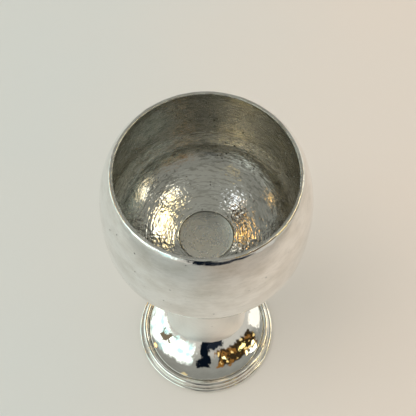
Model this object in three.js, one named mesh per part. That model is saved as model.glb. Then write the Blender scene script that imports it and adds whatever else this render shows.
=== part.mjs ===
// Communion chalice: a hammered bowl on a slender stem and a flared, polished foot.
// Millimetres, +Z up. The origin is the middle of the foot's resting face.
// The bowl, stem and foot are held together by a threaded tie rod with a nut inside the foot.
import * as THREE from "three";

// Driving dimensions
const HEIGHT = 176; // resting face to lip
const MOUTH_R = 38; // outside radius at the lip
const LIP_WALL = 1.3; // width of the flat land on the lip
const BOWL_DEPTH = 61; // lip to the bowl's underside
const BELLY_R = 44.3; // widest outside radius
const BELLY_DROP = 31; // lip to the widest outside level
const CUP_DEPTH = 56.5; // lip to the drinking floor
const CUP_BELLY_R = 42.6; // widest inside radius
const CUP_BELLY_DROP = 34; // lip to the widest inside level
const FLOOR_DISC_R = 12; // flat disc let into the bowl's floor
const FLOOR_DISC_THICK = 1.2;
const SEAT_R = 13; // saucer that the bowl sits on
const SEAT_THICK = 4;
const NECK_R = 6; // top of the foot and bottom of the stem
const WAIST_R = 5.6; // thinnest place of the stem
const STEM_TOP_R = 8.6; // stem under its upper collar
const COLLAR_R = 10.4;
const COLLAR_HEIGHT = 4;
const NECK_RING_R = 7.8;
const NECK_RING_HEIGHT = 3;
const FOOT_EDGE_R = 31.6; // lower edge of the flared foot
const FOOT_EDGE_Z = 5;
const FOOT_TOP_Z = 45;
const FOOT_WALL = 1.3;
const MOULDING_R = 35.1; // outside of the raised moulding round the foot
const MOULDING_TOP = 6;
const FLANGE_R = 37.2; // outer edge of the ring that rests on the table
const FLANGE_INNER_R = 28.5;
const FLANGE_THICK = 2.2;
const ROD_R = 3;
const ROD_BOTTOM = 4.6;
const BORE_R = ROD_R + 0.4;
const PLATE_R = 18;
const PLATE_BOTTOM = 11.6;
const PLATE_THICK = 1.6;
const NUT_FLATS = 10;
const NUT_HEIGHT = 5;
const GAP = 0.3; // left between pieces that touch

// Round pieces: sides of the large and of the small ones
const LARGE_SIDES = 60;
const SMALL_SIDES = 24;

const SILVER = { color: 0xcfccc4, metalness: 1 };
const HAMMERED = new THREE.MeshStandardMaterial({ ...SILVER, roughness: 0.16 });
const PLANISHED = new THREE.MeshStandardMaterial({ ...SILVER, roughness: 0.3 });
const POLISHED = new THREE.MeshStandardMaterial({ ...SILVER, roughness: 0.05 });
const BRASS = new THREE.MeshStandardMaterial({ color: 0xb08d4a, metalness: 1, roughness: 0.35 });

const chalice = new THREE.Group();

function point(radius, height) {
  return new THREE.Vector2(radius, height);
}

// Turns a closed outline of (radius, height) points about Z and adds it to the chalice.
function addTurned(name, outline, material, sides) {
  const geometry = new THREE.LatheGeometry(outline, sides);
  const mesh = new THREE.Mesh(geometry, material);
  mesh.name = name;
  mesh.rotation.x = Math.PI / 2;
  chalice.add(mesh);
}

// Outside of the bowl, from its flat underside up to the lip: a full lower body, and a
// shoulder that draws in quickly just under the lip.
function bowlOutside(steps) {
  const base = HEIGHT - BOWL_DEPTH;
  const belly = HEIGHT - BELLY_DROP;
  const body = new THREE.CubicBezierCurve(
    point(SEAT_R, base),
    point(BELLY_R + 0.7, belly - 19),
    point(BELLY_R, belly - 23),
    point(BELLY_R, belly),
  );
  const shoulder = new THREE.CubicBezierCurve(
    point(BELLY_R, belly),
    point(BELLY_R, HEIGHT - 11),
    point(MOUTH_R + 2.4, HEIGHT - 2.4),
    point(MOUTH_R, HEIGHT),
  );
  return [point(0, base), ...body.getPoints(steps), ...shoulder.getPoints(steps).slice(1)];
}

// Inside of the cup, from the lip down to the floor disc: a soft shoulder above the widest
// level and a superellipse quarter below it. Steps crowd together where the curve turns in.
function cupInside(endR, steps) {
  const lipR = MOUTH_R - LIP_WALL;
  const shoulder = 2.3;
  const squareness = 2.3;
  const upper = Array.from({ length: steps }, (_, i) => {
    const share = 1 - i / steps;
    return point(CUP_BELLY_R - (CUP_BELLY_R - lipR) * share ** shoulder, HEIGHT - CUP_BELLY_DROP * (1 - share));
  });
  const fall = CUP_DEPTH + 0.65 - CUP_BELLY_DROP;
  const endTurn = Math.acos((endR / CUP_BELLY_R) ** (squareness / 2));
  const lower = Array.from({ length: 2 * steps + 1 }, (_, i) => {
    const turn = (endTurn * i) / (2 * steps);
    return point(
      CUP_BELLY_R * Math.cos(turn) ** (2 / squareness),
      HEIGHT - CUP_BELLY_DROP - fall * Math.sin(turn) ** (2 / squareness),
    );
  });
  return [...upper, ...lower];
}

// The bowl is one raised body, heavy low down, with a shallow flat recess for the floor disc.
function addBowl() {
  const recessR = FLOOR_DISC_R + GAP;
  const recessZ = HEIGHT - CUP_DEPTH - FLOOR_DISC_THICK - GAP;
  const recess = [point(recessR, recessZ), point(0, recessZ)];
  addTurned("bowl", [...bowlOutside(6), ...cupInside(recessR, 4), ...recess], HAMMERED, LARGE_SIDES);
}

function addFloorDisc() {
  const top = HEIGHT - CUP_DEPTH;
  const bottom = top - FLOOR_DISC_THICK;
  const bevel = 0.25;
  const outline = [
    point(0, bottom),
    point(FLOOR_DISC_R, bottom),
    point(FLOOR_DISC_R, top - bevel),
    point(FLOOR_DISC_R - bevel, top),
    point(0, top),
  ];
  addTurned("bowl_floor_disc", outline, PLANISHED, SMALL_SIDES);
}

const SEAT_TOP = HEIGHT - BOWL_DEPTH - GAP;
const SEAT_BOTTOM = SEAT_TOP - SEAT_THICK;
const COLLAR_TOP = SEAT_BOTTOM - GAP;
const COLLAR_BOTTOM = COLLAR_TOP - COLLAR_HEIGHT;
const ROD_TOP = SEAT_TOP - 1.2;

// Saucer soldered under the bowl, with a blind hole from below for the tie rod.
function addSeat() {
  const hollowCurve = new THREE.QuadraticBezierCurve(
    point(COLLAR_R - 1, SEAT_BOTTOM),
    point(SEAT_R - 2, SEAT_BOTTOM + 0.8),
    point(SEAT_R, SEAT_TOP - 0.8),
  );
  const outline = [
    point(0, ROD_TOP + GAP),
    point(BORE_R, ROD_TOP + GAP),
    point(BORE_R, SEAT_BOTTOM),
    ...hollowCurve.getPoints(6),
    point(SEAT_R, SEAT_TOP),
    point(0, SEAT_TOP),
  ];
  addTurned("bowl_seat", outline, POLISHED, SMALL_SIDES);
}

// A ring with a rounded outside, threaded loosely over the tie rod.
function addBead(name, innerR, outerR, bottom, height) {
  const round = height / 2;
  const bulge = Array.from({ length: 7 }, (_, i) => {
    const turn = (Math.PI * i) / 6 - Math.PI / 2;
    return point(outerR - round + round * Math.cos(turn), bottom + round + round * Math.sin(turn));
  });
  const outline = [point(innerR, bottom), ...bulge, point(innerR, bottom + height), point(innerR, bottom)];
  addTurned(name, outline, POLISHED, SMALL_SIDES);
}

const NECK_RING_BOTTOM = FOOT_TOP_Z + GAP;
const STEM_BOTTOM = NECK_RING_BOTTOM + NECK_RING_HEIGHT + GAP;
const STEM_TOP = COLLAR_BOTTOM - GAP;

// Waisted tube, widest under the collar.
function addStem() {
  const waistZ = STEM_BOTTOM + (STEM_TOP - STEM_BOTTOM) / 3;
  const waisted = new THREE.SplineCurve([
    point(NECK_R, STEM_BOTTOM),
    point(WAIST_R, waistZ),
    point(WAIST_R + 0.7, (waistZ + STEM_TOP) / 2),
    point(STEM_TOP_R, STEM_TOP),
  ]);
  const outline = [
    point(BORE_R, STEM_BOTTOM),
    ...waisted.getPoints(8),
    point(BORE_R, STEM_TOP),
    point(BORE_R, STEM_BOTTOM),
  ];
  addTurned("stem", outline, POLISHED, SMALL_SIDES);
}

// Outer curve of the flared foot, from its lower edge to the neck.
const FOOT_CURVE = new THREE.CubicBezierCurve(
  point(FOOT_EDGE_R, FOOT_EDGE_Z),
  point(FOOT_EDGE_R - 13.9, FOOT_EDGE_Z + 5.6),
  point(NECK_R, FOOT_TOP_Z - 16),
  point(NECK_R, FOOT_TOP_Z),
);
const FOOT_STEPS = 9;

// Trumpet of even wall, open below, with a short upright edge behind the moulding.
function addFoot() {
  const outside = FOOT_CURVE.getPoints(FOOT_STEPS);
  const inside = outside.map((p, i) => {
    const along = FOOT_CURVE.getTangent(i / FOOT_STEPS);
    return point(p.x - along.y * FOOT_WALL, p.y + along.x * FOOT_WALL);
  });
  const edgeZ = FLANGE_THICK + GAP;
  const outline = [
    point(FOOT_EDGE_R - FOOT_WALL, edgeZ),
    point(FOOT_EDGE_R, edgeZ),
    ...outside,
    ...inside.reverse(),
    point(FOOT_EDGE_R - FOOT_WALL, edgeZ),
  ];
  addTurned("foot", outline, POLISHED, LARGE_SIDES);
}

// Half-round wire that covers the joint between the foot and its flange.
function addMoulding() {
  const innerR = FOOT_EDGE_R + GAP;
  const bottom = FLANGE_THICK + GAP;
  const halfWidth = (MOULDING_R - innerR) / 2;
  const crown = Array.from({ length: 7 }, (_, i) => {
    const turn = (Math.PI * i) / 6;
    return point(
      innerR + halfWidth + halfWidth * Math.cos(turn),
      MOULDING_TOP - halfWidth + halfWidth * Math.sin(turn),
    );
  });
  const outline = [point(innerR, bottom), point(MOULDING_R, bottom), ...crown, point(innerR, bottom)];
  addTurned("foot_moulding", outline, POLISHED, LARGE_SIDES);
}

// Flat ring that the chalice rests on, with a rounded outer edge.
function addFlange() {
  const round = FLANGE_THICK / 2;
  const edge = Array.from({ length: 5 }, (_, i) => {
    const turn = (Math.PI * i) / 4 - Math.PI / 2;
    return point(FLANGE_R - round + round * Math.cos(turn), round + round * Math.sin(turn));
  });
  const outline = [
    point(FLANGE_INNER_R, 0),
    ...edge,
    point(FLANGE_INNER_R, FLANGE_THICK),
    point(FLANGE_INNER_R, 0),
  ];
  addTurned("foot_flange", outline, POLISHED, LARGE_SIDES);
}

// Bush in the foot's neck that keeps the tie rod on the axis.
function addNeckBush() {
  const top = FOOT_TOP_Z;
  const bottom = FOOT_TOP_Z - 7;
  const outerR = NECK_R - FOOT_WALL - GAP;
  const outline = [
    point(BORE_R, bottom),
    point(outerR, bottom),
    point(outerR, top),
    point(BORE_R, top),
    point(BORE_R, bottom),
  ];
  addTurned("neck_bush", outline, BRASS, SMALL_SIDES);
}

// Threaded rod from the seat to the nut, with a bevelled lower end.
function addTieRod() {
  const bevel = 0.6;
  const outline = [
    point(0, ROD_BOTTOM),
    point(ROD_R - bevel, ROD_BOTTOM),
    point(ROD_R, ROD_BOTTOM + bevel),
    point(ROD_R, ROD_TOP),
    point(0, ROD_TOP),
  ];
  addTurned("tie_rod", outline, BRASS, SMALL_SIDES);
}

// Pressure plate: a dished disc that bears on the inside of the foot, above the nut.
function addPressurePlate() {
  const top = PLATE_BOTTOM + PLATE_THICK;
  const hubR = NUT_FLATS / 2 + 2;
  const dish = 1.2;
  const outline = [
    point(BORE_R, PLATE_BOTTOM),
    point(hubR, PLATE_BOTTOM),
    point(PLATE_R, PLATE_BOTTOM - dish),
    point(PLATE_R, top - dish),
    point(hubR, top),
    point(BORE_R, top),
    point(BORE_R, PLATE_BOTTOM),
  ];
  addTurned("pressure_plate", outline, BRASS, SMALL_SIDES);
}

function addNut() {
  const cornerR = NUT_FLATS / 2 / Math.cos(Math.PI / 6);
  const corners = Array.from({ length: 6 }, (_, i) => {
    const turn = (Math.PI * i) / 3;
    return point(cornerR * Math.cos(turn), cornerR * Math.sin(turn));
  });
  const hexagon = new THREE.Shape(corners);
  hexagon.holes.push(new THREE.Path().absarc(0, 0, BORE_R, 0, 2 * Math.PI, true));
  const depth = NUT_HEIGHT;
  const geometry = new THREE.ExtrudeGeometry(hexagon, { depth, bevelEnabled: false, curveSegments: 16 });
  const nut = new THREE.Mesh(geometry, BRASS);
  nut.name = "clamp_nut";
  nut.position.z = PLATE_BOTTOM - GAP - NUT_HEIGHT;
  chalice.add(nut);
}

addBowl();
addFloorDisc();
addSeat();
addBead("stem_collar", BORE_R, COLLAR_R, COLLAR_BOTTOM, COLLAR_HEIGHT);
addStem();
addBead("neck_ring", BORE_R, NECK_RING_R, NECK_RING_BOTTOM, NECK_RING_HEIGHT);
addFoot();
addMoulding();
addFlange();
addNeckBush();
addTieRod();
addPressurePlate();
addNut();

export default chalice;
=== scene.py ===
"""A hammered silver communion chalice on a pale table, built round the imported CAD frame.

Metres, +Z up, in the CAD's frame. Outlines are in millimetres and scaled when a mesh is made.
Every turned piece is a fine mesh, with its hammer marks or hand-made unevenness in the surface.
Its material follows the mesh's own "wrap" coordinates: x and y of the surface before the marks
moved it, and the distance along the outline.
"""
import math

import bpy
import numpy as np
from mathutils import Matrix, Vector


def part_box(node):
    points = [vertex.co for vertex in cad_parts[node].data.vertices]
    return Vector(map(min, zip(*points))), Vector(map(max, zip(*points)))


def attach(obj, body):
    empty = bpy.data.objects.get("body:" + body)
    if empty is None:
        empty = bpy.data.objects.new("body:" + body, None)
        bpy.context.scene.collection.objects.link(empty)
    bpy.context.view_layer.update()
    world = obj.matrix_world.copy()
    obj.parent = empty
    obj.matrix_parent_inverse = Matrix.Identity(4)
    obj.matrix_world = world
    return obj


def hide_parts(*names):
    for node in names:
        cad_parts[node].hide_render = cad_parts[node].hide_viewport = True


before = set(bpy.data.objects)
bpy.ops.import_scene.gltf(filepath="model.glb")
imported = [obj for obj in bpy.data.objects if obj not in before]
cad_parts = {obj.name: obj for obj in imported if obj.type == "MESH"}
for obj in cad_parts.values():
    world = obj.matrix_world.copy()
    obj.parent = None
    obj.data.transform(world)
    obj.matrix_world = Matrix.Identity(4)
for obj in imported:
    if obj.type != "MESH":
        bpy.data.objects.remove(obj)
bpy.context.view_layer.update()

random = np.random.default_rng(12)
MM = 0.001

# ---------------------------------------------------------------- sizes, in millimetres
# Heights and outer radii come from the CAD's boxes.


def low(node):
    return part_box(node)[0].z / MM


def high(node):
    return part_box(node)[1].z / MM


def reach(node):
    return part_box(node)[1].x / MM


LIP_Z = high("bowl")
MOUTH_R = 38.0  # outside radius at the lip
LIP_WALL = 1.3  # width of the lip
LIP_ROUND = 0.45  # how far the lip's two edges are eased
BELLY_DROP = 31.0  # lip to the widest outside level
CUP_BELLY_R = 42.6  # widest inside radius
CUP_BELLY_DROP = 34.0  # lip to the widest inside level
FLOOR_DIP = 0.65  # how far the cup's curve would end below the top of the floor disc
BORE_R = 3.4  # bores round the tie rod
NECK_R = 6.0  # where the stem meets the foot
WAIST_R = 5.6
STEM_TOP_R = 8.6
FOOT_EDGE_Z = 5.0  # lower end of the foot's flare
FOOT_WALL = 1.3
FLANGE_INNER_R = 28.5
GAP = 0.3  # left between pieces that touch
OUTSIDE_STEP = 0.7  # between the bowl's rows of vertices, outside
CUP_STEP = 0.44  # and inside
EDGE_ROUND = 0.2  # how far a small edge is eased
BOWL_COLUMNS = 640  # vertices round each piece
FOOT_COLUMNS = 360
STEM_COLUMNS = 160


# ---------------------------------------------------------------- outlines
def arc(centre, radius, start, end, steps):
    """Points of a circular arc in the (radius, height) plane, angles in degrees."""
    turns = np.radians(np.linspace(start, end, steps + 1))
    return [(centre[0] + radius * math.cos(t), centre[1] + radius * math.sin(t)) for t in turns]


def bezier(a, b, c, d, steps):
    """Points of a cubic Bezier curve in the (radius, height) plane."""
    t = np.linspace(0, 1, steps + 1)[:, None]
    a, b, c, d = map(np.array, (a, b, c, d))
    curve = (1 - t) ** 3 * a + 3 * (1 - t) ** 2 * t * b + 3 * (1 - t) * t**2 * c + t**3 * d
    return [tuple(p) for p in curve]


def distances(points):
    """Distance of each point from the first, along the outline."""
    return np.concatenate([[0], np.cumsum(np.hypot(*np.diff(points, axis=0).T))])


def resampled(points, step):
    """The same outline with points every step millimetres, ends kept."""
    points = np.array(points, float)
    along = distances(points)
    count = max(2, round(along[-1] / step) + 1)
    places = np.linspace(0, along[-1], count)
    return np.column_stack([np.interp(places, along, points[:, i]) for i in (0, 1)])


def softened(points, size, steps=5):
    """The outline with each corner sharper than 30 degrees eased into a small curve."""
    points = np.array(points, float)
    run = np.diff(points, axis=0)
    along = distances(points)
    heading = np.unwrap(np.arctan2(run[:, 1], run[:, 0]))
    sharp = np.flatnonzero(np.abs(np.diff(heading)) > math.radians(30)) + 1
    eased, start = [], 0
    for corner in sharp:
        ahead = min(size, (along[-1] - along[corner]) / 2)
        before = [np.interp(along[corner] - size, along, points[:, i]) for i in (0, 1)]
        after = [np.interp(along[corner] + ahead, along, points[:, i]) for i in (0, 1)]
        handles = [(np.array(side) + 2 * points[corner]) / 3 for side in (before, after)]
        eased += [tuple(p) for p, s in zip(points, along) if start <= s < along[corner] - size]
        eased += bezier(before, *handles, after, steps)
        start = along[corner] + ahead * 1.001
    return eased + [tuple(p) for p, s in zip(points, along) if s >= start]


def bowl_outside(steps=200):
    """The bowl's outside, from the middle of its flat underside up to the lip.

    The two middle points of each curve are its handles."""
    belly_r, base, belly = reach("bowl"), low("bowl"), LIP_Z - BELLY_DROP
    body = bezier(
        (reach("bowl_seat"), base),
        (belly_r + 0.7, belly - 19),
        (belly_r, belly - 23),
        (belly_r, belly),
        steps,
    )
    shoulder = bezier(
        (belly_r, belly),
        (belly_r, LIP_Z - 11),
        (MOUTH_R + 2.4, LIP_Z - 2.4),
        (MOUTH_R, LIP_Z),
        steps,
    )
    return [(0, base), *body, *shoulder[1:]]


def cup_inside(end_r, steps=200):
    """The cup's inside from the lip down to its floor: a soft shoulder, then a superellipse quarter."""
    lip_r, shoulder, squareness = MOUTH_R - LIP_WALL, 2.3, 2.3
    share = np.linspace(1, 0, steps, endpoint=False)
    upper = np.column_stack([
        CUP_BELLY_R - (CUP_BELLY_R - lip_r) * share**shoulder,
        LIP_Z - CUP_BELLY_DROP * (1 - share),
    ])
    fall = LIP_Z - CUP_BELLY_DROP - high("bowl_floor_disc") + FLOOR_DIP
    turn = np.linspace(0, math.acos((end_r / CUP_BELLY_R) ** (squareness / 2)), steps)
    lower = np.column_stack([
        CUP_BELLY_R * np.cos(turn) ** (2 / squareness),
        LIP_Z - CUP_BELLY_DROP - fall * np.sin(turn) ** (2 / squareness),
    ])
    return [tuple(p) for p in np.vstack([upper, lower])]


# ---------------------------------------------------------------- relief
def fade(distance, width):
    """0 at no distance, rising smoothly to 1 at width."""
    t = np.clip(distance / width, 0, 1)
    return (t * t * (3 - 2 * t))[:, None]


def hammer_marks(along, angles, radii, row, length, depth):
    """Overlapping hammer blows in staggered rows: each leaves a shallow dish, low in its middle.

    along and radii belong to the outline's points, angles to the columns. row is the distance
    between rows and length the distance between blows in a row. The result is how far each
    vertex moves along its normal, in millimetres, before the mean is taken off."""
    row_scatter, blow_scatter = 0.38, 0.36  # shares of the spacing
    weakest, strongest = 0.45, 1.25
    rim, half_deep, no_blow = 0.6, 0.3, 4.0  # squared distances from a blow's middle, in spacings
    nearest = np.full((len(along), len(angles)), no_blow)
    strength = np.ones_like(nearest)
    for k in range(int(along[0] // row) - 1, int(along[-1] // row) + 2):
        at = (k + 0.5) * row
        near = np.abs(along - at) < 1.8 * row
        if not near.any():
            continue
        ring_r = np.interp(at, along, radii)
        count = max(5, round(2 * math.pi * ring_r / length))
        seed_along = at + random.uniform(-row_scatter, row_scatter, count) * row
        seed_turn = random.uniform(-blow_scatter, blow_scatter, count) + (k % 2) * 0.5
        seed_force = random.uniform(weakest, strongest, count)
        place = angles / (2 * math.pi) * count
        for step in (-1, 0, 1, 2):
            j = np.floor(place).astype(int) + step - 1
            index = j % count
            across = (place - (j + 0.5 + seed_turn[index]))[None, :]
            down = (along[near][:, None] - seed_along[index][None, :]) / row
            distance = across**2 + down**2
            closer = distance < nearest[near]
            nearest[near] = np.where(closer, distance, nearest[near])
            strength[near] = np.where(closer, seed_force[index][None, :], strength[near])
    return depth * strength * np.minimum(nearest, rim) / half_deep


def waviness(along, angles, height, waves, longest):
    """Slow, smooth unevenness made of a few random waves, in millimetres."""
    relief = np.zeros((len(along), len(angles)))
    for _ in range(waves):
        round_count = random.integers(0, 13)
        period = longest * random.uniform(0.35, 1.0)
        phase = random.uniform(0, 2 * math.pi, 2)
        relief += np.outer(
            np.sin(2 * math.pi * along / period + phase[0]),
            np.sin(round_count * angles + phase[1]),
        )
    return height * relief / math.sqrt(waves)


# ---------------------------------------------------------------- meshes
def mesh_object(name, points, faces, wrap=None):
    """A smooth-shaded mesh object from arrays, in metres, with an optional wrap coordinate."""
    mesh = bpy.data.meshes.new(name)
    mesh.vertices.add(len(points))
    mesh.vertices.foreach_set("co", np.asarray(points, np.float32).ravel())
    sizes = np.array([len(f) for f in faces], np.int32)
    starts = np.concatenate([[0], np.cumsum(sizes)[:-1]])
    corners = np.concatenate([np.asarray(f, np.int32) for f in faces])
    mesh.loops.add(len(corners))
    mesh.loops.foreach_set("vertex_index", corners)
    mesh.polygons.add(len(faces))
    mesh.polygons.foreach_set("loop_start", starts.astype(np.int32))
    mesh.polygons.foreach_set("use_smooth", np.ones(len(faces), bool))
    mesh.update(calc_edges=True)
    mesh.validate()
    if wrap is not None:
        layer = mesh.attributes.new("wrap", "FLOAT_VECTOR", "POINT")
        layer.data.foreach_set("vector", np.asarray(wrap, np.float32).ravel())
    piece = bpy.data.objects.new(name, mesh)
    bpy.context.scene.collection.objects.link(piece)
    return piece


def ring_faces(rows, columns, closed):
    """Quads between neighbouring rows of a turned surface."""
    column = np.arange(columns)
    beside = (column + 1) % columns
    lower = rows if closed else rows[:-1]
    upper = np.roll(rows, -1) if closed else rows[1:]
    a = lower[:, None] * columns + column
    b = lower[:, None] * columns + beside
    c = upper[:, None] * columns + beside
    d = upper[:, None] * columns + column
    return list(np.stack([a, b, c, d], -1).reshape(-1, 4))


def cap_faces(row_count, columns):
    """Fans that join the first and last rows to the two vertices on the axis, which come last."""
    first = row_count * columns
    last = first + 1
    column = np.arange(columns)
    beside = (column + 1) % columns
    base = (row_count - 1) * columns
    faces = [(first, b, a) for a, b in zip(column, beside)]
    return faces + [(last, base + a, base + b) for a, b in zip(column, beside)]


def outward_normals(outline, closed):
    """Unit normals to the right of the outline's run."""
    ahead = np.roll(outline, -1, 0) if closed else np.vstack([outline[1:], outline[-1:]])
    behind = np.roll(outline, 1, 0) if closed else np.vstack([outline[:1], outline[:-1]])
    run = ahead - behind
    run /= np.hypot(*run.T)[:, None]
    return np.column_stack([run[:, 1], -run[:, 0]])


def turned(name, outline, columns, relief=None, closed=False):
    """Turns an outline about Z. It starts and ends on the axis, or is a closed loop.

    relief(along, angles, radii) gives how far each vertex moves along its outward normal, in
    millimetres. Outlines run anticlockwise as seen with the radius to the right."""
    outline = np.array(outline, float)
    normals = outward_normals(outline, closed)
    along = distances(outline)
    angles = np.linspace(0, 2 * math.pi, columns, endpoint=False)
    moved = relief(along, angles, outline[:, 0]) if relief else np.zeros((len(outline), columns))
    radius = outline[:, :1] + normals[:, :1] * moved
    height = outline[:, 1:] + normals[:, 1:] * moved
    points = np.stack([radius * np.cos(angles), radius * np.sin(angles), height], -1)
    wrap = np.stack([
        np.broadcast_to(outline[:, :1] * np.cos(angles), radius.shape),
        np.broadcast_to(outline[:, :1] * np.sin(angles), radius.shape),
        np.broadcast_to(along[:, None], radius.shape),
    ], -1)
    if closed:
        faces = ring_faces(np.arange(len(outline)), columns, True)
        return mesh_object(name, points.reshape(-1, 3) * MM, faces, wrap.reshape(-1, 3) * MM)
    rows = np.arange(len(outline) - 2)
    faces = ring_faces(rows, columns, False) + cap_faces(len(rows), columns)
    ends = [[0, 0, outline[0, 1]], [0, 0, outline[-1, 1]]]
    end_wraps = [[0, 0, along[0]], [0, 0, along[-1]]]
    points = np.vstack([points[1:-1].reshape(-1, 3), ends])
    wrap = np.vstack([wrap[1:-1].reshape(-1, 3), end_wraps])
    return mesh_object(name, points * MM, faces, wrap * MM)


def finish_piece(piece, material, node):
    """Gives a piece its material and its place in the frame."""
    piece.data.materials.append(material)
    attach(piece, "root")
    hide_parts(node)


# ---------------------------------------------------------------- pieces
def bowl_outline():
    """The bowl's whole outline, the row in the middle of its lip, and the row where the cup ends.

    It runs from the axis up the outside, over the lip, down the cup and under the floor disc."""
    disc_r = reach("bowl_floor_disc")
    recess_r, recess_z = disc_r + GAP, low("bowl_floor_disc") - GAP
    outside = bowl_outside()
    inside = cup_inside(recess_r)
    lip = softened([outside[-4], outside[-1], inside[0], inside[3]], LIP_ROUND)[1:-1]
    outside = resampled([p for p in outside if p[1] < LIP_Z - LIP_ROUND], OUTSIDE_STEP)
    inside = resampled([p for p in inside if p[1] < LIP_Z - LIP_ROUND], CUP_STEP)
    corner = [inside[-2], inside[-1], (recess_r, recess_z), (disc_r - 2, recess_z)]
    recess = softened(corner, EDGE_ROUND)
    under_disc = [(disc_r - 6, recess_z), (0, recess_z)]
    outline = np.vstack([outside, lip, inside[:-1], recess[1:], under_disc])
    lip_row = len(outside) + len(lip) // 2
    cup_end_row = len(outside) + len(lip) + len(inside) - 3
    return outline, lip_row, cup_end_row


def bowl_relief(lip_row, cup_end_row):
    """Hammer marks and waves that fade out at the underside, the lip and the floor disc."""
    outer, inner = slice(0, lip_row), slice(lip_row, cup_end_row)

    def relief(along, angles, radii):
        outside, below_lip = along[outer], along[lip_row] - along[outer]
        marks = np.zeros((len(along), len(angles)))
        marks[outer] = hammer_marks(outside, angles, radii[outer], row=3.2, length=4.2, depth=0.02)
        marks[outer] += waviness(outside, angles, height=0.08, waves=30, longest=32) - marks[outer].mean()
        marks[outer] *= fade(below_lip, width=2) * fade(outside, width=20)
        lip_band = fade(below_lip, width=0.8) * (1 - fade(below_lip, width=6))
        blows = hammer_marks(outside, angles, radii[outer], row=5.0, length=5.0, depth=0.07)
        marks[outer] += blows * lip_band

        cup, before_end = along[inner], along[cup_end_row] - along[inner]
        marks[inner] = hammer_marks(cup, angles, radii[inner], row=1.8, length=2.2, depth=0.03)
        marks[inner] += waviness(cup, angles, height=0.035, waves=30, longest=26) - marks[inner].mean()
        marks[inner] *= fade(cup - along[lip_row], width=3) * fade(before_end, width=3)
        return marks

    return relief


def make_bowl(outer_material, inner_material):
    """The raised cup, with one finish outside and another inside, from the lip inwards."""
    outline, lip_row, cup_end_row = bowl_outline()
    bowl = turned("bowl_hammered", outline, BOWL_COLUMNS, bowl_relief(lip_row, cup_end_row))
    bowl.data.materials.append(outer_material)
    finish_piece(bowl, inner_material, "bowl")
    within = np.zeros(len(bowl.data.polygons), np.int32)
    within[(lip_row - 1) * BOWL_COLUMNS :] = 1
    underside_fan = slice(-2 * BOWL_COLUMNS, -BOWL_COLUMNS)
    within[underside_fan] = 0
    bowl.data.polygons.foreach_set("material_index", within)


def make_floor_disc(material):
    """Flat disc in the cup's floor, a little dished and worn at its edge."""
    r, top, bottom = reach("bowl_floor_disc"), high("bowl_floor_disc"), low("bowl_floor_disc")
    outline = softened([(0, bottom), (r, bottom), (r, top), (0, top)], 0.25)
    outline = np.vstack([outline[:-1], resampled([outline[-2], (0, top)], 0.6)[1:]])
    dish = 0.05

    def relief(along, angles, radii):
        on_top = fade(along - (r + 1.0), width=1.5)
        waves = waviness(along, angles, height=0.004, waves=16, longest=14) * fade(radii, width=3)
        return on_top * (waves - dish * fade(r - radii, width=r))

    disc = turned("floor_disc_planished", outline, 180, relief)
    finish_piece(disc, material, "bowl_floor_disc")


def make_seat(material):
    """Saucer under the bowl, with its blind hole for the rod."""
    r, top, bottom = reach("bowl_seat"), high("bowl_seat"), low("bowl_seat")
    hole_top, collar_r = high("tie_rod") + GAP, reach("stem_collar")
    side = bezier(
        (collar_r - 1, bottom), (collar_r + 0.6, bottom + 0.3), (r - 0.7, bottom + 1.4), (r, top - 0.8), 14
    )
    outline = [(0, hole_top), (BORE_R, hole_top), (BORE_R, bottom), *side, (r, top), (0, top)]
    seat = turned("seat_polished", softened(outline, EDGE_ROUND), STEM_COLUMNS)
    finish_piece(seat, material, "bowl_seat")


def make_bead(name, node, material):
    """A ring with a rounded outside on the tie rod."""
    r, top, bottom = reach(node), high(node), low(node)
    half = (top - bottom) / 2
    rounded = arc((r - half, bottom + half), half, -90, 90, 20)
    outline = [(BORE_R, bottom + half), (BORE_R, bottom), *rounded, (BORE_R, top)]
    finish_piece(turned(name, outline, STEM_COLUMNS, closed=True), material, node)


def make_stem(material):
    """Waisted tube, widest under its collar, with the slow unevenness of hand work."""
    top, bottom = high("stem"), low("stem")
    third = (top - bottom) / 3
    outside = bezier(
        (NECK_R, bottom),
        (WAIST_R - 0.5, bottom + third),
        (WAIST_R, bottom + 2 * third),
        (STEM_TOP_R, top),
        60,
    )
    outline = [(BORE_R, (top + bottom) / 2), (BORE_R, bottom), *outside, (BORE_R, top)]

    def relief(along, angles, radii):
        waves = waviness(along, angles, height=0.008, waves=14, longest=24)
        return waves * fade(radii - BORE_R, width=1)

    stem = turned("stem_polished", outline, STEM_COLUMNS, relief, closed=True)
    finish_piece(stem, material, "stem")


def make_foot(material):
    """Flared foot of even wall, open below, behind its moulding."""
    top, bottom, edge_r = high("foot"), low("foot"), reach("foot")
    inner_edge_r, skirt_z = edge_r - FOOT_WALL, 3.2
    outside = bezier(
        (edge_r, FOOT_EDGE_Z), (edge_r - 13.9, FOOT_EDGE_Z + 5.6), (NECK_R, top - 16), (NECK_R, top), 90
    )
    run = np.gradient(np.array(outside), axis=0)
    run /= np.hypot(*run.T)[:, None]
    inside = [(p[0] - t[1] * FOOT_WALL, p[1] + t[0] * FOOT_WALL) for p, t in zip(outside, run)]
    inside = [p for p in inside if p[0] < inner_edge_r]
    skirt = [(inner_edge_r, skirt_z), (inner_edge_r, bottom), (edge_r, bottom)]
    outline = [*skirt, *outside, *inside[::-1]]

    def relief(along, angles, radii):
        waves = waviness(along, angles, height=0.014, waves=20, longest=30)
        return waves * fade(edge_r - radii, width=3) * fade(radii - NECK_R, width=2)

    foot = turned("foot_polished", outline, FOOT_COLUMNS, relief, closed=True)
    finish_piece(foot, material, "foot")


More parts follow.
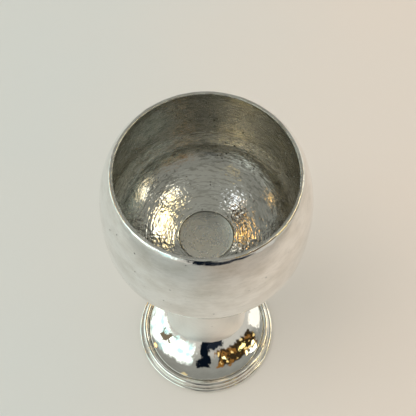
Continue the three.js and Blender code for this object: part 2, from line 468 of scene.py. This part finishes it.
def make_moulding(material):
    """Half-round wire round the foot."""
    outer, inner = reach("foot_moulding"), reach("foot") + GAP
    top, bottom = high("foot_moulding"), low("foot_moulding")
    half = (outer - inner) / 2
    rounded = arc((inner + half, top - half), half, 0, 180, 24)
    outline = [(inner + half, bottom), (outer, bottom), *rounded, (inner, bottom)]

    def relief(along, angles, radii):
        return waviness(along, angles, height=0.006, waves=12, longest=12)

    moulding = turned("foot_moulding_polished", outline, FOOT_COLUMNS, relief, closed=True)
    finish_piece(moulding, material, "foot_moulding")


def make_flange(material):
    """Flat ring under the foot with a rounded outer edge."""
    outer, inner, top = reach("foot_flange"), FLANGE_INNER_R, high("foot_flange")
    half = top / 2
    rounded = arc((outer - half, half), half, -90, 90, 16)
    outline = [(inner, half), (inner, 0), ((inner + outer) / 2, 0), *rounded, (inner, top)]
    flange = turned("foot_flange_polished", outline, FOOT_COLUMNS, closed=True)
    finish_piece(flange, material, "foot_flange")


def make_bush(material):
    """Plain bush round the rod in the foot's neck."""
    top, bottom, r = high("neck_bush"), low("neck_bush"), reach("neck_bush")
    outline = [(BORE_R, (top + bottom) / 2), (BORE_R, bottom), (r, bottom), (r, top), (BORE_R, top)]
    bush = turned("neck_bush_turned", outline, 96, closed=True)
    finish_piece(bush, material, "neck_bush")


def make_rod(material):
    """Threaded rod: its turns are a helix cut into the surface."""
    r, top, bottom = reach("tie_rod"), high("tie_rod"), low("tie_rod")
    pitch, deep, bevel, top_bevel = 1.0, 0.5, 0.6, 0.2
    side = resampled([(r, bottom + bevel), (r, top - top_bevel)], 0.16)
    outline = [(0, bottom), (r - bevel, bottom), *side, (r - top_bevel, top), (0, top)]

    def relief(along, angles, radii):
        turn = np.abs((along[:, None] / pitch - angles[None, :] / (2 * math.pi)) % 1 - 0.5) * 2
        on_side = (radii > r - 0.01)[:, None]
        return -deep * turn * on_side

    finish_piece(turned("tie_rod_threaded", outline, 48, relief), material, "tie_rod")


def make_plate(material):
    """Dished pressure plate inside the foot."""
    r, top, bottom = reach("pressure_plate"), high("pressure_plate"), low("pressure_plate")
    hub_r, dish, thick = 7.0, 1.2, 1.6
    underside = [(BORE_R, top - thick / 2), (BORE_R, bottom + dish), (hub_r, bottom + dish), (r, bottom)]
    upper_side = [(r, bottom + thick), (hub_r, top), (BORE_R, top)]
    plate = turned("pressure_plate_turned", underside + upper_side, 128, closed=True)
    finish_piece(plate, material, "pressure_plate")


def make_nut(material):
    """Hexagonal nut with bevelled corners: a round blank cut back to six flats."""
    top, bottom = high("clamp_nut"), low("clamp_nut")
    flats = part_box("clamp_nut")[1].y / MM
    corner = flats / math.cos(math.pi / 6)
    bevel, face_r = 0.7, flats - 0.2
    lower = [(BORE_R, (top + bottom) / 2), (BORE_R, bottom), (face_r, bottom), (corner, bottom + bevel)]
    upper = [(corner, top - bevel), (face_r, top), (BORE_R, top)]

    def relief(along, angles, radii):
        across = flats / np.cos((angles + math.pi / 6) % (math.pi / 3) - math.pi / 6)
        cut = np.minimum(across[None, :] - radii[:, None], 0)
        return np.where(radii[:, None] > BORE_R, cut, 0)

    nut = turned("clamp_nut_hexagon", lower + upper, 96, relief, closed=True)
    finish_piece(nut, material, "clamp_nut")


# ---------------------------------------------------------------- shader nodes
def add(tree, kind, settings=None, **inputs):
    """Adds a shader node. An input is a value or another node's output socket.

    An input is given by its name, with _ for a space, or as _ and its number."""
    node = tree.nodes.new("ShaderNode" + kind)
    for key, value in (settings or {}).items():
        setattr(node, key, value)
    for key, value in inputs.items():
        socket = node.inputs[int(key[1:])] if key[0] == "_" else node.inputs[key.replace("_", " ")]
        if isinstance(value, bpy.types.NodeSocket):
            tree.links.new(value, socket)
        else:
            socket.default_value = value
    return node


def math_of(tree, operation, *values):
    inputs = {f"_{i}": v for i, v in enumerate(values)}
    return add(tree, "Math", {"operation": operation}, **inputs).outputs[0]


def times(tree, a, b):
    return math_of(tree, "MULTIPLY", a, b)


def ranged(tree, value, low_in, high_in, low_out=0.0, high_out=1.0, smooth=False):
    """Value moved from one range to another and held inside it."""
    kind = {"interpolation_type": "SMOOTHSTEP"} if smooth else {}
    limits = {"From_Min": low_in, "From_Max": high_in, "To_Min": low_out, "To_Max": high_out}
    return add(tree, "MapRange", kind, Value=value, **limits).outputs[0]


def noise(tree, place, around, along, detail=3.0, rough=0.55):
    """Noise on the wrap coordinates. around and along are features per metre in each direction."""
    stretch = (around, around, along)
    stretched = add(tree, "VectorMath", {"operation": "MULTIPLY"}, _0=place, _1=stretch).outputs[0]
    texture = add(tree, "TexNoise", Vector=stretched, Scale=1.0, Detail=detail, Roughness=rough)
    return texture.outputs["Fac"]


def mixed(tree, factor, below, above):
    """The colour below where the factor is 0, and the colour above where it is 1."""
    return add(tree, "Mix", {"data_type": "RGBA"}, Factor=factor, _6=below, _7=above).outputs[2]


def axis_of(tree, vector, axis):
    return add(tree, "SeparateXYZ", Vector=vector).outputs[axis]


def new_material(name):
    """A material, its node tree and its shader."""
    material = bpy.data.materials.new(name)
    material.use_nodes = True
    return material, material.node_tree, material.node_tree.nodes["Principled BSDF"]


def wrap_of(tree):
    return add(tree, "Attribute", {"attribute_name": "wrap"}).outputs["Vector"]


# ---------------------------------------------------------------- materials
DULL_END = 0.165  # where the cup's duller stretch below the lip ends, in metres along the outline
DULL_BLEND = 0.022  # length of its soft end, in metres
DULL_ROUGHER = 0.17  # roughness added in that stretch
STREAKS_BELOW = 0.6  # share of the streaks that stays below it
PIT_DARKNESS = 0.8
PIT_ROUGHER = 0.3
PIT_DEPTH = 0.01  # millimetres
FILM = (0.42, 0.36, 0.26, 1)
STREAK = (0.3, 0.29, 0.26, 1)
PIT = (0.05, 0.045, 0.04, 1)


def pit_mask(tree, place, spacing):
    """Dark specks of 0.06 to 0.48 mm radius in drifts, about spacing millimetres apart."""
    least, most, outer, inner = (mm / spacing for mm in (0.06, 0.48, 0.05, -0.02))
    cells = add(tree, "TexVoronoi", {"feature": "F1"}, Vector=place, Scale=1000.0 / spacing)
    chance = add(tree, "SeparateColor", Color=cells.outputs["Color"]).outputs[0]
    size = ranged(tree, chance, 0.35, 1.0, least, most)
    past_edge = math_of(tree, "SUBTRACT", cells.outputs["Distance"], size)
    pit = ranged(tree, past_edge, outer, inner)
    return times(tree, pit, ranged(tree, noise(tree, place, around=90, along=90, detail=2), 0.48, 0.6))


def silver_shade(tree, place, color, pit, upper, tarnish, streaks):
    """Silver's colour with brown film in patches, dark thin bands and dark specks."""
    cloud = noise(tree, place, around=80, along=110, detail=5)
    dull = times(tree, ranged(tree, cloud, 0.42, 0.75), tarnish)
    shade = mixed(tree, dull, (*color, 1), FILM)
    streak = ranged(tree, noise(tree, place, around=220, along=800, detail=5, rough=0.7), 0.5, 0.6)
    if upper is not None:
        streak = times(tree, streak, math_of(tree, "MULTIPLY_ADD", upper, 1 - STREAKS_BELOW, STREAKS_BELOW))
    shade = mixed(tree, times(tree, streak, streaks), shade, STREAK)
    return mixed(tree, times(tree, pit, PIT_DARKNESS), shade, PIT)


def silver_height(tree, place, pit, chatter, grain, scratch):
    """Height of the fine surface, in millimetres."""
    ripple = times(tree, noise(tree, place, around=300, along=1200, detail=0.6), chatter)
    fine = times(tree, noise(tree, place, around=1000, along=1000, detail=0.3), grain)
    lines = ranged(tree, noise(tree, place, around=90, along=9000, detail=2), 0.56, 0.72)
    height = math_of(tree, "ADD", ripple, fine)
    height = math_of(tree, "SUBTRACT", height, times(tree, lines, scratch))
    return math_of(tree, "SUBTRACT", height, times(tree, pit, PIT_DEPTH))


def silver_roughness(tree, place, pit, upper, roughness):
    """Roughness that varies with rubbing, higher in the specks and in the dull stretch."""
    rub = noise(tree, place, around=220, along=500, detail=4)
    rough = ranged(tree, rub, 0.35, 0.7, *roughness)
    rough = math_of(tree, "ADD", rough, times(tree, pit, PIT_ROUGHER))
    if upper is not None:
        rough = math_of(tree, "ADD", rough, times(tree, upper, DULL_ROUGHER))
    return rough


def silver(name, color, roughness, chatter, grain, scratch, pits, tarnish, streaks, dull_end=None):
    """Silver worked by hand.

    roughness is a (least, most) pair. Heights are in millimetres: chatter is the fine ripple
    that runs round the piece, grain is uneven in all directions, and scratch is the depth of the
    polishing scratches. pits is the spacing of the dark specks in millimetres. tarnish is how far
    the colour dulls in patches, and streaks how far it darkens in thin bands. Where dull_end is
    given, the outline up to there is rougher, and the streaks are fainter past it."""
    material, tree, shader = new_material(name)
    shader.inputs["Metallic"].default_value = 1.0
    place = wrap_of(tree)
    pit = pit_mask(tree, place, pits)
    upper = None
    if dull_end:
        along = axis_of(tree, place, "Z")
        upper = ranged(tree, along, dull_end - DULL_BLEND, dull_end, 1.0, 0.0, smooth=True)
    shade = silver_shade(tree, place, color, pit, upper, tarnish, streaks)
    rough = silver_roughness(tree, place, pit, upper, roughness)
    height = silver_height(tree, place, pit, chatter, grain, scratch)
    tree.links.new(shade, shader.inputs["Base Color"])
    tree.links.new(rough, shader.inputs["Roughness"])
    bump = add(tree, "Bump", Strength=1.0, Distance=MM, Height=height)
    tree.links.new(bump.outputs[0], shader.inputs["Normal"])
    return material


def brass(name):
    """Turned brass with fine tool lines and a brown film."""
    material, tree, shader = new_material(name)
    shader.inputs["Metallic"].default_value = 1.0
    place = wrap_of(tree)
    tool = noise(tree, place, around=60, along=6000, detail=2)
    film = ranged(tree, noise(tree, place, around=150, along=150, detail=4), 0.4, 0.7)
    shade = mixed(tree, film, (0.72, 0.5, 0.2, 1), (0.38, 0.24, 0.1, 1))
    tree.links.new(shade, shader.inputs["Base Color"])
    tree.links.new(ranged(tree, tool, 0.3, 0.7, 0.22, 0.42), shader.inputs["Roughness"])
    bump = add(tree, "Bump", Strength=0.5, Distance=0.01 * MM, Height=tool)
    tree.links.new(bump.outputs[0], shader.inputs["Normal"])
    return material


def table_paint():
    """Pale, smooth table top, cool white to the left and warm white to the right: painted light
    that stands in for cool window light on the left and warm lamplight on the right.

    In front of the chalice, outside the picture, painted shade makes it darker, which shades
    the lower bowl in reflection."""
    # The cool and warm tints are painted light; the last number is how dark the painted shade in front
    # gets.
    cool, warm, painted_front_shade_level = (0.705, 0.735, 0.685, 1), (0.82, 0.74, 0.64, 1), 0.68
    material, tree, shader = new_material("pale_table")
    shader.inputs["Roughness"].default_value = 0.55
    shader.inputs["Specular IOR Level"].default_value = 0.3
    place = add(tree, "TexCoord").outputs["Object"]
    # Painted light: the colour runs unevenly from the cool tint on the left to the warm one on the right.
    side = ranged(tree, axis_of(tree, place, "X"), -0.14, 0.16, smooth=True)
    cloud = add(tree, "TexNoise", Vector=place, Scale=9.0, Detail=3.0).outputs["Fac"]
    side = math_of(tree, "ADD", side, ranged(tree, cloud, 0.3, 0.7, -0.08, 0.08))
    shade = mixed(tree, side, cool, warm)
    # Painted shade: the table's colour darkens towards its front, outside the picture.
    painted_front_shade = ranged(tree, axis_of(tree, place, "Y"), -0.05, -0.3, 1.0, painted_front_shade_level, smooth=True)
    shade = add(tree, "VectorMath", {"operation": "SCALE"}, _0=shade, Scale=painted_front_shade)
    tree.links.new(shade.outputs[0], shader.inputs["Base Color"])
    return material


# ---------------------------------------------------------------- studio
CAMERA_WALL = (0.66, 0.64, 0.58, 1)
SHADOW = (0.72, 0.705, 0.68, 1)  # what diffuse rays see apart from the daylight
DAYLIGHT = (3.45, 3.35, 3.3, 1)
OVERHEAD = 0.35  # least z of a direction that can see the overhead lights


def patch(tree, across, upward, centre, half, soft):
    """1 inside a rectangle of the two given coordinates and 0 outside, with soft edges."""
    sides = []
    for value, middle, reach_out in zip((across, upward), centre, half):
        away = math_of(tree, "ABSOLUTE", math_of(tree, "SUBTRACT", value, float(middle)))
        sides.append(ranged(tree, away, float(reach_out), float(reach_out - soft), smooth=True))
    return times(tree, *sides)


def unsettled(tree, angle, clutter, spread):
    """An angle moved by up to half of spread either way, so that the lights' edges aren't straight."""
    middle = math_of(tree, "SUBTRACT", angle, spread / 2)
    return math_of(tree, "MULTIPLY_ADD", clutter, spread, middle)


def wall_shade(tree, elevation):
    """The room's walls, which get darker upwards, and its ceiling."""
    table_level, upper_wall = (0.6, 0.58, 0.52, 1), (0.3, 0.303, 0.27, 1)
    under_ceiling, ceiling = (0.255, 0.258, 0.228, 1), (0.335, 0.338, 0.3, 1)
    room = mixed(tree, ranged(tree, elevation, 6, 34, smooth=True), table_level, upper_wall)
    room = mixed(tree, ranged(tree, elevation, 40, 56, smooth=True), room, under_ceiling)
    return mixed(tree, ranged(tree, elevation, 57, 66, smooth=True), room, ceiling)


def light_shades(tree, direction, clutter):
    """Colours of the uneven lights: window, what hangs in it, shelf, strip and row of lamps."""
    cells = add(tree, "TexVoronoi", {"feature": "F1"}, Vector=direction, Scale=13.0)
    chance = add(tree, "SeparateColor", Color=cells.outputs["Color"]).outputs
    sparks = ranged(tree, chance[0], 0.55, 0.6)
    few = ranged(tree, chance[0], 0.74, 0.78)
    golden = ranged(tree, chance[1], 0.45, 0.6)
    lit = ranged(tree, chance[2], 0.9, 0.92)
    patches = add(tree, "TexNoise", Vector=direction, Scale=4.0, Detail=1.0).outputs["Fac"]
    tint = ranged(tree, patches, 0.4, 0.65)

    window = mixed(tree, tint, (2.1, 2.3, 2.15, 1), (0.8, 1.25, 1.2, 1))
    hung = mixed(tree, ranged(tree, clutter, 0.47, 0.53), window, (0.22, 0.18, 0.12, 1))
    shelf = mixed(tree, ranged(tree, clutter, 0.5, 0.54), (0.04, 0.026, 0.012, 1), (0.28, 0.13, 0.03, 1))
    shelf = mixed(tree, lit, shelf, (1.1, 0.8, 0.3, 1))
    strip_spark = mixed(tree, golden, (4.6, 4.6, 4.2, 1), (4.6, 3.7, 2.0, 1))
    strip = mixed(tree, sparks, (0.2, 0.19, 0.14, 1), strip_spark)
    lamp = mixed(tree, golden, (3.5, 3.4, 3.0, 1), (6.0, 3.6, 1.1, 1))
    lamps = mixed(tree, few, (0.05, 0.025, 0.008, 1), lamp)
    return window, hung, shelf, strip, lamps


def placed_lights(tree, direction, clutter):
    """The low and the overhead lights, each as centre, half size, softness and colour.

    Low lights are placed by azimuth and elevation in degrees. Azimuth 0 is behind the camera, 90
    to its right and -90 to its left. Overhead lights are placed by the x and y of their direction,
    with x to the camera's right and y away from it. A later light covers an earlier one."""
    window, hung, shelf, strip, lamps = light_shades(tree, direction, clutter)
    low_lights = [
        ((-77, 20), (54, 20), 10, window),
        ((-84, 13), (15, 10), 3, hung),
        ((-3, 15), (13, 25), 3, (0.003, 0.006, 0.012, 1)),  # dark patch behind the camera
        ((22, 2), (20, 9), 4, (0.015, 0.02, 0.03, 1)),  # dark patch low on the right
        ((60, 26), (40, 16), 4, shelf),
        ((136, 20), (30, 15), 5, (1.3, 1.25, 1.1, 1)),  # pale wall at the back on the right
        ((36, 26), (4, 5), 2, (3.0, 2.7, 1.3, 1)),  # three warm lamps, painted over the shelf
        ((70, 25), (7, 3), 2, (3.0, 2.5, 0.9, 1)),
        ((90, 34), (5, 4), 2, (3.0, 2.7, 1.5, 1)),
    ]
    overhead_lights = [
        ((0.35, 0.24), (0.09, 0.3), 0.02, strip),
        ((0.77, -0.1), (0.06, 0.16), 0.02, strip),
        ((-0.33, -0.4), (0.05, 0.09), 0.02, (0.8, 0.66, 0.36, 1)),  # faint warm light
        ((-0.74, 0.03), (0.03, 0.04), 0.02, (5.0, 3.0, 0.9, 1)),  # one gold lamp
        ((-0.25, 0.34), (0.07, 0.24), 0.02, lamps),
        ((-0.25, 0.1), (0.045, 0.07), 0.02, (1.9, 2.0, 2.1, 1)),  # white light at the lamps' near end
    ]
    return low_lights, overhead_lights


def make_surroundings():
    """A plain room of soft walls, a window, a shelf and lamps, seen only in reflections.

    Diffuse rays see one soft daylight overhead instead, and that is what lights the table. Camera
    rays see a plain wall. World sampling is off, because it ignores the kind of ray and would let
    the reflected lights fall on the table as well."""
    world = bpy.data.worlds.new("studio")
    bpy.context.scene.world = world
    world.use_nodes = True
    world.cycles.sampling_method = "NONE"
    tree = world.node_tree
    direction = add(tree, "TexCoord").outputs["Generated"]
    x, y, z = (axis_of(tree, direction, axis) for axis in "XYZ")
    clutter = add(tree, "TexNoise", Vector=direction, Scale=6.0, Detail=3.0, Roughness=0.6).outputs["Fac"]
    azimuth = math_of(tree, "DEGREES", math_of(tree, "ARCTAN2", x, times(tree, y, -1.0)))
    azimuth = unsettled(tree, azimuth, clutter, 34.0)
    elevation = math_of(tree, "DEGREES", math_of(tree, "ARCSINE", z))
    elevation = unsettled(tree, elevation, clutter, -22.0)
    over = math_of(tree, "GREATER_THAN", z, OVERHEAD)

    room = wall_shade(tree, elevation)
    low_lights, overhead_lights = placed_lights(tree, direction, clutter)
    for centre, half, soft, color in low_lights:
        room = mixed(tree, patch(tree, azimuth, elevation, centre, half, soft), room, color)
    for centre, half, soft, color in overhead_lights:
        room = mixed(tree, times(tree, over, patch(tree, x, y, centre, half, soft)), room, color)
    sky = patch(tree, x, y, centre=(-0.36, -0.14), half=(0.3, 0.3), soft=0.15)
    daylight = mixed(tree, times(tree, over, sky), SHADOW, DAYLIGHT)
    rays = add(tree, "LightPath")
    room = mixed(tree, rays.outputs["Is Diffuse Ray"], room, daylight)
    room = mixed(tree, rays.outputs["Is Camera Ray"], room, CAMERA_WALL)
    tree.links.new(room, tree.nodes["Background"].inputs["Color"])


def make_table(material):
    """Wide round table top under the foot."""
    table_r, columns = 3.0, 96
    turns = np.linspace(0, 2 * math.pi, columns, endpoint=False)
    rim = np.column_stack([table_r * np.cos(turns), table_r * np.sin(turns), np.zeros(columns)])
    column = np.arange(columns)
    faces = [(columns, a, b) for a, b in zip(column, (column + 1) % columns)]
    table = mesh_object("table", np.vstack([rim, [[0, 0, 0]]]), faces)
    table.data.materials.append(material)


def make_camera():
    """A long view down into the cup from in front."""
    pitch, roll = math.radians(62.34), math.radians(0.25)
    distance = 0.3512  # from the camera to the level of the mouth's middle, along the view
    mouth_right, mouth_up = -0.0007, 0.01405  # the mouth's middle from the middle of the view
    focal_length = 900 / 416  # in widths of the picture
    right = Vector((1, 0, 0))
    up = Vector((0, math.sin(pitch), math.cos(pitch)))
    ahead = Vector((0, math.cos(pitch), -math.sin(pitch)))
    camera = bpy.data.objects.new("camera", bpy.data.cameras.new("camera"))
    bpy.context.scene.collection.objects.link(camera)
    place = Vector((0, 0, LIP_Z * MM)) - distance * ahead - mouth_right * right - mouth_up * up
    tilt = Matrix.Rotation(math.pi / 2 - pitch, 4, "X") @ Matrix.Rotation(roll, 4, "Z")
    camera.matrix_world = Matrix.Translation(place) @ tilt
    camera.data.sensor_width = 36.0
    camera.data.lens = camera.data.sensor_width * focal_length
    bpy.context.scene.camera = camera


# ---------------------------------------------------------------- assembly
outer_hammered = silver(
    "hammered_silver_outside", color=(0.9, 0.895, 0.875), roughness=(0.06, 0.16), chatter=0.025,
    grain=0.012, scratch=0.002, pits=3.4, tarnish=0.4, streaks=0.12,
)
inner_hammered = silver(
    "hammered_silver_inside", color=(0.75, 0.745, 0.71), roughness=(0.03, 0.06), chatter=0.09,
    grain=0.035, scratch=0.003, pits=1.8, tarnish=0.2, streaks=0.65, dull_end=DULL_END,
)
planished = silver(
    "planished_silver", color=(0.72, 0.72, 0.70), roughness=(0.24, 0.34), chatter=0.004,
    grain=0.008, scratch=0.0, pits=1.8, tarnish=0.2, streaks=0.1,
)
polished = silver(
    "polished_silver", color=(0.9, 0.89, 0.865), roughness=(0.02, 0.06), chatter=0.004,
    grain=0.001, scratch=0.0006, pits=5.0, tarnish=0.08, streaks=0.05,
)
brass_fittings = brass("brass_fittings")

make_bowl(outer_hammered, inner_hammered)
make_floor_disc(planished)
make_seat(polished)
make_bead("stem_collar_polished", "stem_collar", polished)
make_stem(polished)
make_bead("neck_ring_polished", "neck_ring", polished)
make_foot(polished)
make_moulding(polished)
make_flange(polished)
make_bush(brass_fittings)
make_rod(brass_fittings)
make_plate(brass_fittings)
make_nut(brass_fittings)

make_table(table_paint())
make_surroundings()
make_camera()
bpy.context.scene.view_settings.view_transform = "Standard"
bpy.context.scene.cycles.glossy_bounces = 10  # the cup reflects itself many times
